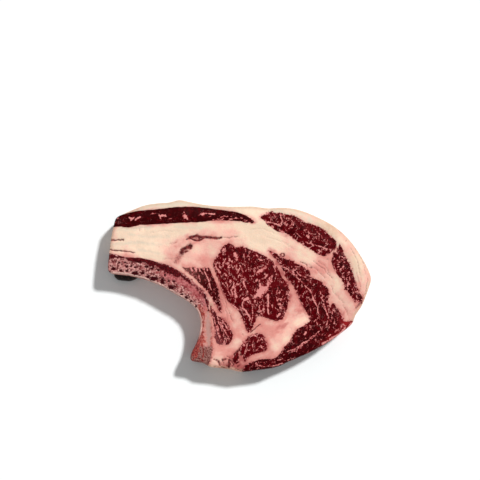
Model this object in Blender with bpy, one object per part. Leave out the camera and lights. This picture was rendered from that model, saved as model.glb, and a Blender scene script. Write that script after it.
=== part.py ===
"""Bone-in ribeye steak, raw, lying on its cut face.

The steak is one slice across the rib, so the muscles, the rib bone and the fat
that joins them all run through its thickness. Each muscle is its own solid in a
pocket of the fat. Outlines and sizes are in millimetres, with X along the
steak, Y across it and Z up from the underside.
"""

import math

import bmesh
import bpy
import numpy as np
from mathutils import Vector, noise
from mathutils.geometry import delaunay_2d_cdt

MM = 0.001

# Thickness of the slice and the clearance between two pieces
THICKNESS = 34.0
GAP = 0.3

# Side wall: the cut faces end this far inside the outline, and the wall bulges out to it
RIM_INSET = 1.5
WALL_HEIGHTS = (0.2, 0.52, 0.82)
WALL_BULGES = (0.8, 1.0, 0.7)

# Round edge of the upper face, from the sawn side to the soft outer fat
SAWN_DROP, SAWN_REACH = 1.6, 4.0
SOFT_DROP, SOFT_REACH = 3.8, 9.0
SOFT_SIDE = (0.45, 0.89)
UNDER_RISE, UNDER_REACH = 1.0, 3.0

# Relief of the upper face: long waves, and muscles that swell above the fat
WAVE_HEIGHT, WAVE_LENGTH = 0.7, 46.0
MUSCLE_SWELL, SWELL_REACH = 0.9, 9.0
BONE_DIP = 0.5

# Spacing of points along the outlines, and of those inside a face
OUTLINE_STEP = 4.0
FACE_STEP = 9.5
EDGE_ROW = 2.4
CLEAR_OF_BORDER = 2.6

# Outer outline, from the upper left corner along the fat to the right
STEAK = (
    (-134, 72), (-129, 76), (-118, 81), (-104, 86.5), (-90, 89), (-76, 90), (-65, 92.6),
    (-52, 90), (-34, 87), (-10, 85.5), (14, 85.6), (29, 83.8), (46, 84.3), (62, 82.3),
    (80, 75.6), (100, 65), (115, 52.5), (127, 37), (136, 21.5), (141, 8.5), (139.5, 1),
    (136, -9), (130, -23), (124, -31), (120, -41), (108, -51), (95, -60.5), (75, -71.5),
    (52, -81.5), (38, -87.5), (18, -90.6), (2, -92.4), (-12, -89.5), (-32, -87), (-39, -83),
    (-53, -80.2), (-52.5, -72), (-47, -61), (-43.2, -48), (-42.8, -37), (-46, -27),
    (-54, -18.5), (-67, -10.5), (-86, 0), (-104, 7), (-122, 11), (-138.5, 12.8), (-142, 18),
    (-140.8, 33), (-138.7, 51), (-135.7, 66),
)

# Rib bone: its border with the fat, closed outside the steak's own outline
RIB_BONE = (
    (-150, 34), (-136, 33.2), (-122, 30), (-104, 28.6), (-88, 24.6), (-76, 21), (-64, 14.3),
    (-50, 4.3), (-38, -7), (-34, -15), (-32.6, -22), (-31.3, -32), (-30, -46), (-29.6, -60),
    (-30.6, -74), (-34, -84), (-40, -93), (-64, -92), (-62, -60), (-66, -30), (-90, -20),
    (-150, 2),
)

# Muscles, each closed outside the steak where it reaches the side
TOP_STRIP_MUSCLE = (
    (-140, 63), (-140, 74), (-130, 74.8), (-112, 78.8), (-90, 80.9), (-62, 83.8),
    (-44, 83.4), (-22, 80.6), (-4, 77.8), (6, 74.5), (11.5, 71), (16, 66.6), (8, 67.2),
    (-4, 69.2), (-24, 69.8), (-42, 68.2), (-68, 67), (-92, 65.7), (-108, 64.6),
    (-119, 61.8), (-127, 63.4),
)
FRONT_CAP_MUSCLE = (
    (22.5, 72.5), (26.5, 76), (33, 78.6), (38.5, 76.6), (43.5, 77.6), (48, 75.3), (55, 75),
    (64, 70.8), (69.5, 66.5), (78, 64.8), (86, 61.3), (95, 54), (101.5, 47), (102, 40.5),
    (98, 37.5), (93.5, 33), (89.5, 31.2), (84.5, 33), (78, 37.5), (64, 46), (51, 54.8),
    (41, 57.6), (36, 61), (29, 65), (27.4, 68.6),
)
SIDE_CAP_MUSCLE = (
    (106.5, 43.5), (110.5, 34), (116.5, 22), (120.5, 10.5), (125, -4), (130, -13.5),
    (129.4, -19), (123.6, -17.6), (119, -13), (116, -7.5), (112.5, -4), (110, 3.5),
    (103, 13), (98.6, 22), (98.4, 29.5), (100, 34.2), (103.4, 36),
)
EYE_MUSCLE = (
    (-12.5, 44.6), (-7.5, 42.8), (-4.2, 39.9), (3, 41.4), (9, 38.4), (16, 36), (26, 30.7),
    (35, 24.8), (41, 16.5), (44.2, 8), (49.4, 4), (52.6, -6), (51, -18), (47.5, -30),
    (42, -37.4), (31, -35), (18.6, -31.8), (16.4, -37.5), (13, -45), (8.8, -49.8), (6, -43),
    (3, -35.6), (-2, -26), (-8.5, -21.3), (-14, -14.5), (-19, -4), (-24.5, 11),
    (-28.4, 24.5), (-23, 32), (-18.2, 41),
)
RIBEYE_CAP_MUSCLE = (
    (31, 37), (42, 31.6), (58, 24), (71, 17.6), (76, 8.4), (84, 5), (91, -0.4), (94.2, -7),
    (93, -16), (95.7, -23.5), (98.7, -19.2), (104, -26.5), (109, -34), (112, -39),
    (121, -38), (128, -47), (96, -72), (56, -91), (20, -100), (3, -97), (5.6, -85),
    (14, -81), (24, -78.4), (38, -77.6), (45, -68.5), (55, -56.5), (60, -47.4), (75, -38.2),
    (72, -30), (66, -19.5), (60.8, -8), (55, 3), (49, 8), (45.6, 18), (39, 27.2),
)
LOWER_MUSCLE = (
    (10.8, -53), (14.4, -52.6), (20, -50.2), (25.4, -54.6), (28.4, -64), (25, -69.2),
    (13, -73.4), (7.8, -77), (5, -80.6), (3.6, -77), (1.4, -72), (0.4, -66.6), (4.6, -59.6),
)
LOWER_MUSCLE_FOOT = (
    (-2.2, -70.4), (-1.4, -74.6), (-1.2, -80), (-3.4, -83), (-6.8, -80.2), (-7.6, -76),
    (-6.2, -72),
)
RIB_FINGER_UPPER = (
    (-61, 19.4), (-56, 17.8), (-50, 19.7), (-45, 17.4), (-39.5, 18), (-33.6, 18.6),
    (-29, 8.5), (-24, -2), (-21.4, -15), (-19.8, -28.4), (-24.6, -23.4), (-29, -14),
    (-35, -5.6), (-44, 4), (-54, 13),
)
RIB_FINGER_LOWER = (
    (-31.2, -21), (-28, -26.6), (-23.4, -33), (-18.4, -35.6), (-13, -42), (-7.6, -53.5),
    (-9.8, -60), (-14, -62.4), (-24.6, -61), (-26.2, -52), (-27, -42), (-29.6, -31),
)
MUSCLES = {
    "top_strip_muscle": TOP_STRIP_MUSCLE,
    "front_cap_muscle": FRONT_CAP_MUSCLE,
    "side_cap_muscle": SIDE_CAP_MUSCLE,
    "eye_muscle": EYE_MUSCLE,
    "ribeye_cap_muscle": RIBEYE_CAP_MUSCLE,
    "lower_muscle": LOWER_MUSCLE,
    "lower_muscle_foot": LOWER_MUSCLE_FOOT,
    "rib_finger_upper": RIB_FINGER_UPPER,
    "rib_finger_lower": RIB_FINGER_LOWER,
}

# Scrap of meat under the end of the rib, which shows past its edge
UNDER_RIB_MEAT = (
    (-137.4, 14), (-136.8, 9.8), (-133.6, 6.9), (-127, 6), (-120.5, 5.3), (-115, 6.8),
    (-110, 11), (-109.5, 17), (-115, 21.5), (-126, 22.8), (-134.5, 20.5),
)
SCRAP_LEVELS = ((0.0, -1.0), (1.4, 0.0), (6.0, 0.0), (8.4, -1.2), (9.0, -3.4))

# Colours of the raw meat, fat and bone, with how rough each looks
FINISHES = {
    "fat": ((0.86, 0.58, 0.44, 1.0), 0.42),
    "bone": ((0.52, 0.22, 0.18, 1.0), 0.55),
    "muscle": ((0.11, 0.006, 0.01, 1.0), 0.3),
    "dark_meat": ((0.03, 0.012, 0.01, 1.0), 0.4),
}


def clear_scene():
    for old in list(bpy.data.objects):
        bpy.data.objects.remove(old, do_unlink=True)


def smooth_outline(points, step=OUTLINE_STEP):
    """Points about a step apart on a closed smooth curve through these, counterclockwise."""
    corners = np.array(points, float)
    curve = []
    for i in range(len(corners)):
        before, start, end, after = (corners[(i + k) % len(corners)] for k in (-1, 0, 1, 2))
        parts = max(1, round(float(np.linalg.norm(end - start)) / step))
        for part in range(parts):
            t = part / parts
            curve.append(
                0.5 * (2 * start + (end - before) * t
                       + (2 * before - 5 * start + 4 * end - after) * t ** 2
                       + (3 * start - before - 3 * end + after) * t ** 3)
            )
    curve = np.array(curve)
    following = np.roll(curve, -1, axis=0)
    area = np.sum(curve[:, 0] * following[:, 1] - following[:, 0] * curve[:, 1])
    return curve if area > 0 else curve[::-1]


def outward(outline):
    """The outward direction at each point of an outline, and how much a mitre lengthens it."""
    ahead = np.roll(outline, -1, axis=0) - outline
    ahead /= np.linalg.norm(ahead, axis=1)[:, None]
    behind = np.roll(ahead, 1, axis=0)
    along = ahead + behind
    along /= np.linalg.norm(along, axis=1)[:, None]
    mitre = np.clip(np.sum(along * ahead, axis=1), 0.4, 1.0)
    return np.stack([along[:, 1], -along[:, 0]], axis=1), mitre


def offset_outline(outline, distance):
    normals, mitre = outward(outline)
    return outline + normals * (distance / mitre)[:, None]


def inside(points, outline):
    """True for each point that the outline encloses."""
    x, y = points[:, :1], points[:, 1:]
    start, end = outline, np.roll(outline, -1, axis=0)
    spans = (start[:, 1] > y) != (end[:, 1] > y)
    rise = np.where(end[:, 1] == start[:, 1], 1.0, end[:, 1] - start[:, 1])
    crossing = start[:, 0] + (y - start[:, 1]) * (end[:, 0] - start[:, 0]) / rise
    return (np.sum(spans & (x < crossing), axis=1) % 2) == 1


def nearest(points, outline):
    """Each point's distance to the outline, and the outline's outward direction there."""
    normals, _ = outward(outline)
    start, end = outline, np.roll(outline, -1, axis=0)
    run = end - start
    offset = points[:, None, :] - start[None, :, :]
    share = np.clip(np.sum(offset * run, axis=2) / np.sum(run * run, axis=1), 0.0, 1.0)
    distances = np.linalg.norm(offset - share[:, :, None] * run[None, :, :], axis=2)
    which = np.argmin(distances, axis=1)
    rows = np.arange(len(points))
    part = share[rows, which][:, None]
    direction = normals[which] * (1 - part) + normals[(which + 1) % len(outline)] * part
    direction /= np.linalg.norm(direction, axis=1)[:, None]
    return distances[rows, which], direction


class Plan:
    """The steak seen from above: its outlines, and which piece each spot belongs to."""

    def __init__(self):
        self.rim = offset_outline(smooth_outline(STEAK), -RIM_INSET)
        self.borders = {"rib_bone": smooth_outline(RIB_BONE)}
        self.borders.update({name: smooth_outline(points) for name, points in MUSCLES.items()})
        self.pockets = {name: offset_outline(o, GAP) for name, o in self.borders.items()}
        loops = [self.rim, *self.borders.values(), *self.pockets.values()]
        points, edges = [], []
        for loop in loops:
            first = len(points)
            points.extend(Vector(p) for p in loop)
            edges.extend((first + i, first + (i + 1) % len(loop)) for i in range(len(loop)))
        self.points, faces = triangulate(points, edges)
        self.edges = self.between_pieces(faces)

    def owners(self, spots):
        """The name of the piece at each spot, or an empty name in a gap or off the steak."""
        owner = np.full(len(spots), "fat_body", dtype=object)
        for name, outline in self.borders.items():
            owner[inside(spots, self.pockets[name])] = ""
            owner[inside(spots, outline)] = name
        owner[~inside(spots, self.rim)] = ""
        return owner

    def between_pieces(self, faces):
        """The edges where one piece ends."""
        owner = self.owners(centres(self.points, faces))
        sides = {}
        for face, name in zip(faces, owner):
            for a, b in zip(face, face[1:] + face[:1]):
                sides.setdefault((min(a, b), max(a, b)), []).append(name)
        return [edge for edge, names in sides.items() if len(set(names)) > 1 or len(names) == 1]

    def faces_of_pieces(self, extra):
        """Triangles of each piece over the plan's points and these extra ones."""
        points, faces = triangulate([*self.points, *(Vector(p) for p in extra)], self.edges)
        owner = self.owners(centres(points, faces))
        pieces = {}
        for face, name in zip(faces, owner):
            pieces.setdefault(name, []).append(face)
        return points, pieces

    def clear_of_borders(self, spots):
        """Those spots that lie on the steak and well away from every border."""
        keep = inside(spots, self.rim)
        for outline in self.borders.values():
            keep &= nearest(spots, outline)[0] > CLEAR_OF_BORDER
        return spots[keep]

    def edge_row(self, distance):
        return self.clear_of_borders(offset_outline(self.rim, -distance))

    def face_grid(self):
        """Points spread over the whole face, in staggered rows."""
        low, high = self.rim.min(axis=0), self.rim.max(axis=0)
        row_step = FACE_STEP * math.sqrt(0.75)
        spots = []
        for row in range(int((high[1] - low[1]) / row_step) + 1):
            shift = 0.5 * FACE_STEP * (row % 2)
            for column in range(int((high[0] - low[0]) / FACE_STEP) + 1):
                spots.append((low[0] + shift + column * FACE_STEP, low[1] + row * row_step))
        spots = self.clear_of_borders(np.array(spots))
        return spots[nearest(spots, self.rim)[0] > SAWN_REACH + 1]


def triangulate(points, edges):
    """Triangles over these points that keep every edge."""
    found, _, faces, *_ = delaunay_2d_cdt(points, edges, [], 0, 1e-5)
    return found, [tuple(face) for face in faces]


def centres(points, faces):
    spots = np.array([tuple(p) for p in points])
    return spots[np.array(faces)].mean(axis=1)


def upper_heights(plan, name, spots):
    """Height of the upper face of a piece at each spot."""
    distance, direction = nearest(spots, plan.rim)
    soft = np.clip((direction @ np.array(SOFT_SIDE) + 0.1) / 0.7, 0.0, 1.0)
    drop = SAWN_DROP + (SOFT_DROP - SAWN_DROP) * soft
    reach = SAWN_REACH + (SOFT_REACH - SAWN_REACH) * soft
    heights = THICKNESS - drop * np.clip(1 - distance / reach, 0.0, 1.0) ** 2
    heights += [WAVE_HEIGHT * noise.noise(Vector((*spot / WAVE_LENGTH, 0.5))) for spot in spots]
    if name == "fat_body":
        return heights
    from_border = np.clip(nearest(spots, plan.borders[name])[0] / SWELL_REACH, 0.0, 1.0)
    rise = -BONE_DIP if name == "rib_bone" else MUSCLE_SWELL
    return heights + rise * from_border * (2 - from_border)


def under_heights(plan, spots):
    """Height of the underside: flat, and rounded up at the outer edge."""
    distance, _ = nearest(spots, plan.rim)
    return UNDER_RISE * np.clip(1 - distance / UNDER_REACH, 0.0, 1.0) ** 2


class PieceMesh:
    """Collects the corners and triangles of one piece that runs through the steak."""

    def __init__(self, plan, name):
        self.plan, self.name = plan, name
        self.corners, self.faces, self.known = [], [], {}

    def corner(self, x, y, z):
        key = (round(x, 4), round(y, 4), round(z, 4))
        if key not in self.known:
            self.known[key] = len(self.corners)
            self.corners.append((x * MM, y * MM, z * MM))
        return self.known[key]

    def add_face(self, points, triangles, upper):
        spots = np.array([tuple(p) for p in points])
        heights = upper_heights(self.plan, self.name, spots) if upper else under_heights(self.plan, spots)
        for triangle in triangles:
            ring = [self.corner(*spots[i], heights[i]) for i in triangle]
            self.faces.append(ring if upper else ring[::-1])

    def column(self, spot):
        """Corners up the wall at a spot, with bulging ones between on the outside."""
        here = np.array([spot])
        low = float(under_heights(self.plan, here)[0])
        high = float(upper_heights(self.plan, self.name, here)[0])
        distance, direction = nearest(here, self.plan.rim)
        levels = [(spot[0], spot[1], low)]
        if distance[0] < 1e-3:
            swing = 0.82 + 0.18 * math.sin(0.11 * spot[0]) * math.cos(0.13 * spot[1])
            for height, bulge in zip(WALL_HEIGHTS, WALL_BULGES):
                reach = RIM_INSET * bulge * (1.0 if bulge == max(WALL_BULGES) else swing)
                out = here[0] + direction[0] * reach
                levels.append((out[0], out[1], low + height * (high - low)))
        levels.append((spot[0], spot[1], high))
        return levels

    def add_wall(self, start, end):
        """The wall over one border edge, with the piece on the left of it."""
        left, right = self.column(start), self.column(end)
        i, j = 0, 0
        while i < len(left) - 1 or j < len(right) - 1:
            go_left = j == len(right) - 1 or (i < len(left) - 1 and left[i + 1][2] < right[j + 1][2])
            tip = left[i + 1] if go_left else right[j + 1]
            self.faces.append([self.corner(*left[i]), self.corner(*right[j]), self.corner(*tip)])
            i, j = (i + 1, j) if go_left else (i, j + 1)

    def add_walls(self, points, triangles):
        sides = {(a, b) for face in triangles for a, b in zip(face, face[1:] + face[:1])}
        for a, b in sorted(sides):
            if (b, a) not in sides:
                self.add_wall(tuple(points[a]), tuple(points[b]))


def material(finish):
    name = finish.replace("_", " ")
    if name in bpy.data.materials:
        return bpy.data.materials[name]
    colour, roughness = FINISHES[finish]
    made = bpy.data.materials.new(name)
    made.use_nodes = True
    made.diffuse_color = colour
    shader = made.node_tree.nodes["Principled BSDF"]
    shader.inputs["Base Color"].default_value = colour
    shader.inputs["Roughness"].default_value = roughness
    return made


def make_object(name, corners, faces, finish):
    mesh = bpy.data.meshes.new(name)
    mesh.from_pydata(corners, [], faces)
    mesh.materials.append(material(finish))
    mesh.shade_smooth()
    mesh.set_sharp_from_angle(angle=math.radians(35))
    obj = bpy.data.objects.new(name, mesh)
    bpy.context.scene.collection.objects.link(obj)
    return obj


def stack_outlines(outline, levels):
    """Corners and faces of a solid whose outline grows and shrinks level by level."""
    bm = bmesh.new()
    rings = []
    for height, grow in levels:
        ring = offset_outline(outline, grow) * MM
        rings.append([bm.verts.new((x, y, height * MM)) for x, y in ring])
    count = len(outline)
    for lower, upper in zip(rings, rings[1:]):
        for i in range(count):
            k = (i + 1) % count
            bm.faces.new((lower[i], lower[k], upper[k], upper[i]))
    bm.faces.new(rings[0][::-1])
    bm.faces.new(rings[-1])
    bmesh.ops.triangulate(bm, faces=bm.faces[:])
    corners = [tuple(v.co) for v in bm.verts]
    bm.verts.index_update()
    faces = [[v.index for v in face.verts] for face in bm.faces]
    bm.free()
    return corners, faces


def add_scrap_under(rib):
    """The scrap of meat under the rib's end, and the hollow that the rib leaves for it."""
    outline = smooth_outline(UNDER_RIB_MEAT)
    make_object("under_rib_meat", *stack_outlines(outline, SCRAP_LEVELS), "dark_meat")
    below = (-2.0, SCRAP_LEVELS[1][1] + GAP)
    hollow_levels = [below] + [(z + GAP, grow + GAP) for z, grow in SCRAP_LEVELS[1:]]
    cutter = make_object("scrap_hollow", *stack_outlines(outline, hollow_levels), "dark_meat")
    cutter.hide_render = True
    cutter.display_type = "WIRE"
    cut = rib.modifiers.new("hollow for the scrap", "BOOLEAN")
    cut.operation = "DIFFERENCE"
    cut.object = cutter


def build():
    clear_scene()
    plan = Plan()
    edge_row = plan.edge_row(EDGE_ROW)
    upper_points, upper_faces = plan.faces_of_pieces([*edge_row, *plan.face_grid()])
    under_points, under_faces = plan.faces_of_pieces(edge_row)
    for name in ("fat_body", *plan.borders):
        piece = PieceMesh(plan, name)
        piece.add_face(upper_points, upper_faces[name], upper=True)
        piece.add_face(under_points, under_faces[name], upper=False)
        piece.add_walls(under_points, under_faces[name])
        finish = {"fat_body": "fat", "rib_bone": "bone"}.get(name, "muscle")
        make_object(name, piece.corners, piece.faces, finish)
    add_scrap_under(bpy.data.objects["rib_bone"])


build()
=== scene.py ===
import math

import bmesh
import bpy
import numpy as np
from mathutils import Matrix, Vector, noise
from mathutils.bvhtree import BVHTree
from mathutils.geometry import delaunay_2d_cdt
from mathutils.kdtree import KDTree


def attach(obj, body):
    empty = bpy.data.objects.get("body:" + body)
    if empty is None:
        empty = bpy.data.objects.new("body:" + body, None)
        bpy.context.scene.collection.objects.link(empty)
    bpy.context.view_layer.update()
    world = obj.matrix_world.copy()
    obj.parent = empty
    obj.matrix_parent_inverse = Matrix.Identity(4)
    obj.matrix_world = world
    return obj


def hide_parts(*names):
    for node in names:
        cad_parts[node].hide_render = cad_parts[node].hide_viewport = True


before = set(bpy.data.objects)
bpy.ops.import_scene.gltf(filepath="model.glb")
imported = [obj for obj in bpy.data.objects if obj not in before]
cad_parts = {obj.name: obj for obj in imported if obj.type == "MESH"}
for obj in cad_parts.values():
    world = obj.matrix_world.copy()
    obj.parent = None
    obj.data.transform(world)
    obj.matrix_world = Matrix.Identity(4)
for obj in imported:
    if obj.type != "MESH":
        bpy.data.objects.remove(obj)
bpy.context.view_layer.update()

# Fat body
# One connected mass of raw fat that holds every muscle and the rib. It was cut
# through with a knife, so both faces are flat and smeared; its outer side is soft.

MM = 0.001
FACE_STEP, UNDER_STEP, LOOP_STEP = 0.85, 2.4, 0.9
FACE_UP, FACE_LOW = 0.35, 25
NEIGHBOUR_REACH = 0.9
ROUND_PASSES = 6
WALL_ROWS, WALL_BULGE = 20, 1.3
WALL_RIPPLE, RIPPLE_LENGTH = 0.16, 9.0
WAY_REACH = 5.0
GAP_COVER = 0.36
BORDER_WOBBLE, WOBBLE_LENGTH, WOBBLE_FADE = 0.5, 6.0, 5.0
FINE_WOBBLE, FINE_LENGTH = 0.32, 2.4
HEIGHT_PASSES, UNDER_PASSES = 24, 2
EDGE_DROP, EDGE_REACH = 0.9, 2.6
SHARP_ANGLE = 48
WOBBLE_SEED = 3

noise.seed_set(WOBBLE_SEED)


def face_loops(node):
    """The corners of each loop round a solid's upper face, in mm, with the piece on their left."""
    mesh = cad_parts[node].data
    mesh.calc_loop_triangles()
    known, spots, number = {}, [], []
    for vertex in mesh.vertices:
        key = tuple(round(c / MM, 2) for c in vertex.co)
        if key not in known:
            known[key] = len(spots)
            spots.append(key)
        number.append(known[key])
    sides = set()
    for triangle in mesh.loop_triangles:
        ring = [number[i] for i in triangle.vertices]
        if triangle.normal.z > FACE_UP and min(spots[i][2] for i in ring) > FACE_LOW:
            sides.update(zip(ring, ring[1:] + ring[:1]))
    ahead = {a: b for a, b in sides if (b, a) not in sides}
    loops = []
    while ahead:
        start, here = ahead.popitem()
        loop = [start]
        while here != start:
            loop.append(here)
            here = ahead.pop(here)
        loops.append(np.array([spots[i][:2] for i in loop]))
    return loops


def loop_edges(loops):
    starts = np.concatenate(loops)
    ends = np.concatenate([np.roll(loop, -1, axis=0) for loop in loops])
    return starts, ends


def enclosed(spots, loops):
    """True for each spot inside these loops."""
    starts, ends = loop_edges(loops)
    found = np.zeros(len(spots), bool)
    for first in range(0, len(spots), 4000):
        part = spots[first:first + 4000]
        x, y = part[:, :1], part[:, 1:]
        spans = (starts[:, 1] > y) != (ends[:, 1] > y)
        rise = np.where(starts[:, 1] == ends[:, 1], 1.0, ends[:, 1] - starts[:, 1])
        crossing = starts[:, 0] + (y - starts[:, 1]) * (ends[:, 0] - starts[:, 0]) / rise
        found[first:first + 4000] = (spans & (x < crossing)).sum(axis=1) % 2 == 1
    return found


def right_of(starts, ends):
    along = ends - starts
    along = along / np.maximum(np.linalg.norm(along, axis=1), 1e-9)[:, None]
    return np.stack([along[:, 1], -along[:, 0]], axis=1)


LOOPS = {node: face_loops(node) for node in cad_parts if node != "under_rib_meat"}
OUTER = {}
for node, loops in LOOPS.items():
    OUTER[node] = []
    for loop in loops:
        ahead = np.roll(loop, -1, axis=0)
        probe = (loop + ahead) / 2 + NEIGHBOUR_REACH * right_of(loop, ahead)
        covered = np.zeros(len(loop), bool)
        for others in LOOPS.values():
            covered |= enclosed(probe, others)
        OUTER[node].append(~covered)


def tree_of(spots):
    tree = KDTree(len(spots))
    for i, spot in enumerate(spots):
        tree.insert((spot[0], spot[1], 0.0), i)
    tree.balance()
    return tree


def along_edges(nodes, outer):
    """Points a millimetre apart on the side wall, or on the borders inside, and which way is out."""
    spots, ways = [], []
    for node in nodes:
        for loop, flags in zip(LOOPS[node], OUTER[node]):
            ahead = np.roll(loop, -1, axis=0)
            for start, end, way, flag in zip(loop, ahead, right_of(loop, ahead), flags):
                if flag == outer:
                    parts = max(1, int(np.linalg.norm(end - start)))
                    spots += [start + (end - start) * (i + 0.5) / parts for i in range(parts)]
                    ways += [way] * parts
    return np.array(spots), np.array(ways)


RIM_SPOTS, RIM_WAYS = along_edges(LOOPS, True)
RIM_TREE = tree_of(RIM_SPOTS)
BORDER_TREE = tree_of(along_edges([n for n in LOOPS if n != "fat_body"], False)[0])


def distances(spots, tree):
    return np.array([tree.find((x, y, 0.0))[2] for x, y in spots])


def rim_ways(spots):
    """The way out of the side wall at each spot, smoothed along it."""
    found = []
    for x, y in spots:
        near = RIM_TREE.find_range((x, y, 0.0), WAY_REACH) or [RIM_TREE.find((x, y, 0.0))]
        way = sum(RIM_WAYS[i] * math.exp(-d * d / WAY_REACH) for _, i, d in near)
        found.append(way / max(np.linalg.norm(way), 1e-9))
    return np.array(found)


def fine_loop(corners, outer):
    """A loop again with close points, rounded where it has no true corner."""
    ahead = np.roll(corners, -1, axis=0)
    points, flags, fixed = [], [], []
    way = right_of(corners, ahead)
    turn = np.sum(way * np.roll(way, 1, axis=0), axis=1)
    for i, (start, end) in enumerate(zip(corners, ahead)):
        parts = max(1, round(float(np.linalg.norm(end - start)) / LOOP_STEP))
        for part in range(parts):
            points.append(start + (end - start) * part / parts)
            flags.append(outer[i])
            fixed.append(part == 0 and (outer[i] != outer[i - 1] or turn[i] < 0.5))
    points, flags, fixed = np.array(points), np.array(flags), np.array(fixed)
    for _ in range(ROUND_PASSES):
        middle = (np.roll(points, 1, axis=0) + np.roll(points, -1, axis=0)) / 2
        points = np.where(fixed[:, None], points, (points + middle) / 2)
    return points, flags


def cover_gap(points, flags):
    """Moves a piece's inner border out over the gap, along the side wall at its corners."""
    ahead = right_of(points, np.roll(points, -1, axis=0))
    behind = np.roll(ahead, 1, axis=0)
    before = np.roll(flags, 1)
    way = ahead + behind
    way /= np.maximum(np.linalg.norm(way, axis=1), 1e-9)[:, None]
    along = np.stack([-behind[:, 1], behind[:, 0]], axis=1)
    back = np.stack([ahead[:, 1], -ahead[:, 0]], axis=1)
    way[before & ~flags] = along[before & ~flags]
    way[~before & flags] = back[~before & flags]
    way[before & flags] = 0.0
    return points + way * GAP_COVER


def grid_inside(loops, step):
    """Points in staggered rows inside the loops, clear of their edges."""
    starts, ends = loop_edges(loops)
    edge_tree = tree_of(starts)
    row_step = step * math.sqrt(0.75)
    spots = []
    low, high = starts.min(axis=0), starts.max(axis=0)
    for row in range(math.ceil(low[1] / row_step), math.floor(high[1] / row_step) + 1):
        y = row * row_step + 1e-4
        spans = (starts[:, 1] > y) != (ends[:, 1] > y)
        a, b = starts[spans], ends[spans]
        cuts = np.sort(a[:, 0] + (y - a[:, 1]) * (b[:, 0] - a[:, 0]) / (b[:, 1] - a[:, 1]))
        for left, right in zip(cuts[::2], cuts[1::2]):
            first = math.ceil(left / step - 0.5 * (row % 2))
            for column in range(first, math.floor(right / step - 0.5 * (row % 2)) + 1):
                spots.append(((column + 0.5 * (row % 2)) * step, y))
    spots = np.array(spots).reshape(-1, 2)
    return spots[distances(spots, edge_tree) > 0.6 * step]


def fill_face(loops, spots):
    """Triangles over the loops' points and these inner spots."""
    points = [Vector(p) for loop in loops for p in loop]
    rim_count = len(points)
    edges, first = [], 0
    for loop in loops:
        edges += [(first + i, first + (i + 1) % len(loop)) for i in range(len(loop))]
        first += len(loop)
    points += [Vector(p) for p in spots]
    found, _, faces, *_ = delaunay_2d_cdt(points, edges, [], 0, 1e-6)
    faces = np.array([tuple(face) for face in faces])
    places = np.array([tuple(p) for p in found])
    doubtful = np.all(faces < rim_count, axis=1)
    keep = ~doubtful
    keep[doubtful] = enclosed(places[faces[doubtful]].mean(axis=1), loops)
    if len(found) != len(points):
        raise ValueError("two borders of a face cross")
    return faces[keep]


def heights_on(solid, spots, upper):
    """Height of the solid's upper or lower face at each spot, in mm."""
    start, way = (0.1, -1.0) if upper else (-0.1, 1.0)
    found = []
    for x, y in spots:
        hit = solid.ray_cast(Vector((x * MM, y * MM, start)), Vector((0, 0, way)))[0]
        if hit is None:
            hit = solid.find_nearest(Vector((x * MM, y * MM, 0.033 if upper else 0.0)))[0]
        found.append(hit.z / MM)
    return np.array(found)


def even_out(heights, faces, passes):
    """Heights smoothed over the triangles of a face."""
    pairs = np.concatenate([faces[:, [0, 1]], faces[:, [1, 2]], faces[:, [2, 0]]])
    count = np.bincount(pairs.ravel(), minlength=len(heights))
    for _ in range(passes):
        total = np.bincount(pairs[:, 0], heights[pairs[:, 1]], len(heights))
        total += np.bincount(pairs[:, 1], heights[pairs[:, 0]], len(heights))
        heights = (heights + total / np.maximum(count, 1)) / 2
    return heights


def drift(spots, length, level):
    """Smooth shifts of spots in the plan, each up to 1 either way, with lumps about this long."""
    return np.array([noise.noise_vector(Vector((x, y, level)) / length)[:2] for x, y in spots])


def wobble(spots):
    """How far each spot of the plan shifts, so that no border runs too smoothly."""
    fade = np.clip(distances(spots, RIM_TREE) / WOBBLE_FADE, 0.0, 1.0)
    shift = drift(spots, WOBBLE_LENGTH, 7.0) * BORDER_WOBBLE + drift(spots, FINE_LENGTH, 40.0) * FINE_WOBBLE
    return shift * fade[:, None]


def stand(name, data):
    """A new object in the scene."""
    made = bpy.data.objects.new(name, data)
    bpy.context.scene.collection.objects.link(made)
    return made


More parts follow.
